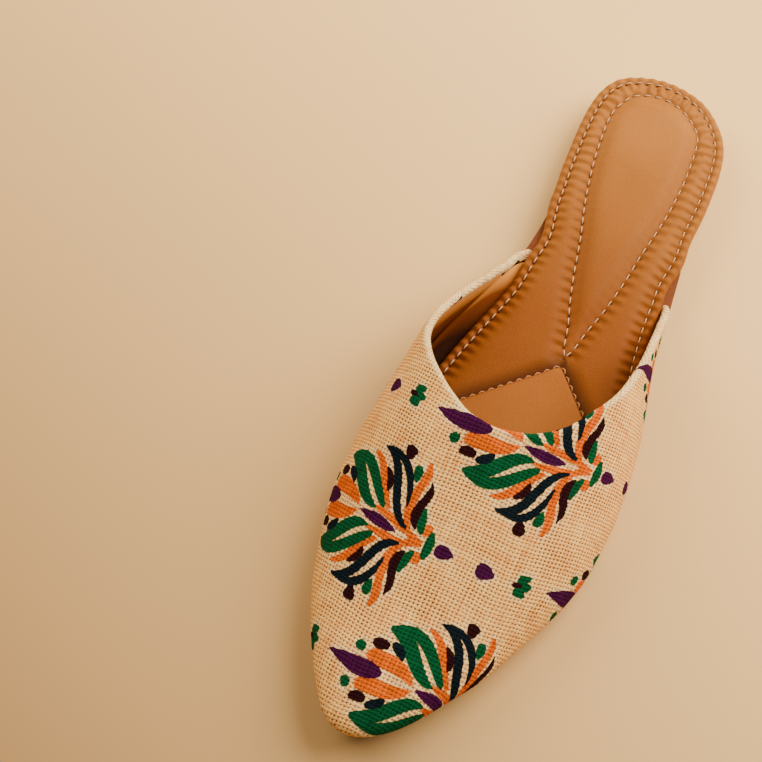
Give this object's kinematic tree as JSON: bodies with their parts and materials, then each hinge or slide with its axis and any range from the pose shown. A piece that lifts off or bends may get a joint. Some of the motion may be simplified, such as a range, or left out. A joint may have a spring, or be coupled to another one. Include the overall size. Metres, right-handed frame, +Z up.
{
  "type": "mule",
  "caption": "Flat pointed mule for the left foot with a woven cloth vamp, a quilted padded insole and a low flat heel.",
  "frame": {"origin": "on the floor, under the middle of the shoe's outer box", "axes": "+Z up, the toe points to -Y and the heel to +Y, the big toe's side is -X"},
  "size_m": [0.0891, 0.2705, 0.0475],
  "materials": {
    "outsole": "satin",
    "heel": "satin",
    "insole": "satin",
    "upper": "matte"
  },
  "bodies": {
    "root": {"outsole": "outsole", "heel_block": "heel", "insole": "insole", "upper": "upper"}
  },
  "joints": []
}
